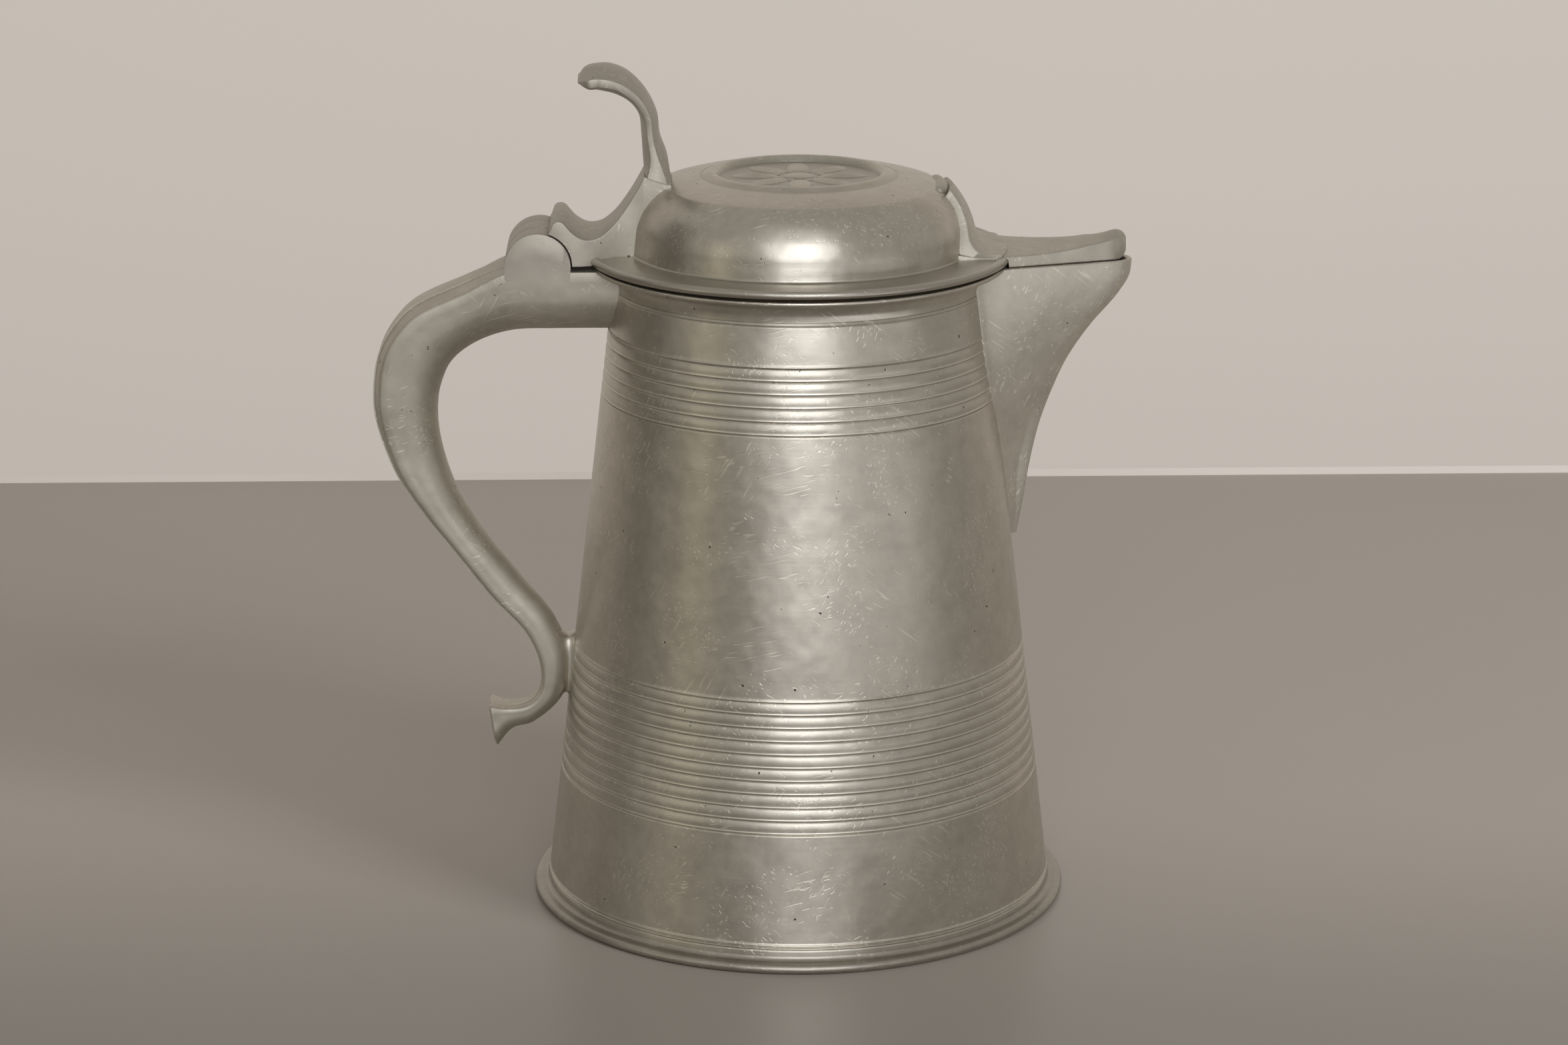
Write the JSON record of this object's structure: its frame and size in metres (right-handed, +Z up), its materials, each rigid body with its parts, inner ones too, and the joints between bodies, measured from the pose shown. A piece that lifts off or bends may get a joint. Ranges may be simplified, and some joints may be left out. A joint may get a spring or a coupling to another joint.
{
  "type": "lidded pewter jug",
  "caption": "Tapered pewter serving jug with a beak spout, a cast scroll handle and a hinged domed lid that also covers the spout and lifts by a thumbpiece.",
  "frame": {"origin": "on the table, under the middle of the whole jug from the handle's back to the spout's tip", "axes": "+Z up, +X towards the spout, -X towards the handle, Y across the jug"},
  "size_m": [0.2124, 0.1526, 0.2387],
  "materials": {
    "pewter_turned": "satin pewter with fine turning lines and wear",
    "pewter_cast": "satin cast pewter, worn smooth by hands",
    "solder": "dull solder",
    "pin_metal": "plain, filed flush"
  },
  "bodies": {
    "jug": {"drum_wall": "pewter_turned", "foot_ring": "pewter_turned", "bottom_plate": "pewter_turned", "rim_ring": "pewter_turned", "spout": "pewter_cast", "handle": "pewter_cast", "handle_strut": "solder", "hinge_pin": "pin_metal"},
    "lid": {"lid_shell": "pewter_turned", "lid_bezel": "pewter_turned", "medallion_ring": "pewter_cast", "medallion_disc": "pewter_cast", "hinge_strap": "pewter_cast", "thumbpiece": "pewter_cast", "spout_cover": "pewter_cast", "cover_strap": "pewter_cast"}
  },
  "joints": [
    {"name": "lid_hinge", "type": "hinge", "parent": "jug", "child": "lid", "pos_m": [-0.05942, 0, 0.1847], "axis": [0, -1, 0], "range_deg": [0, 110]}
  ]
}
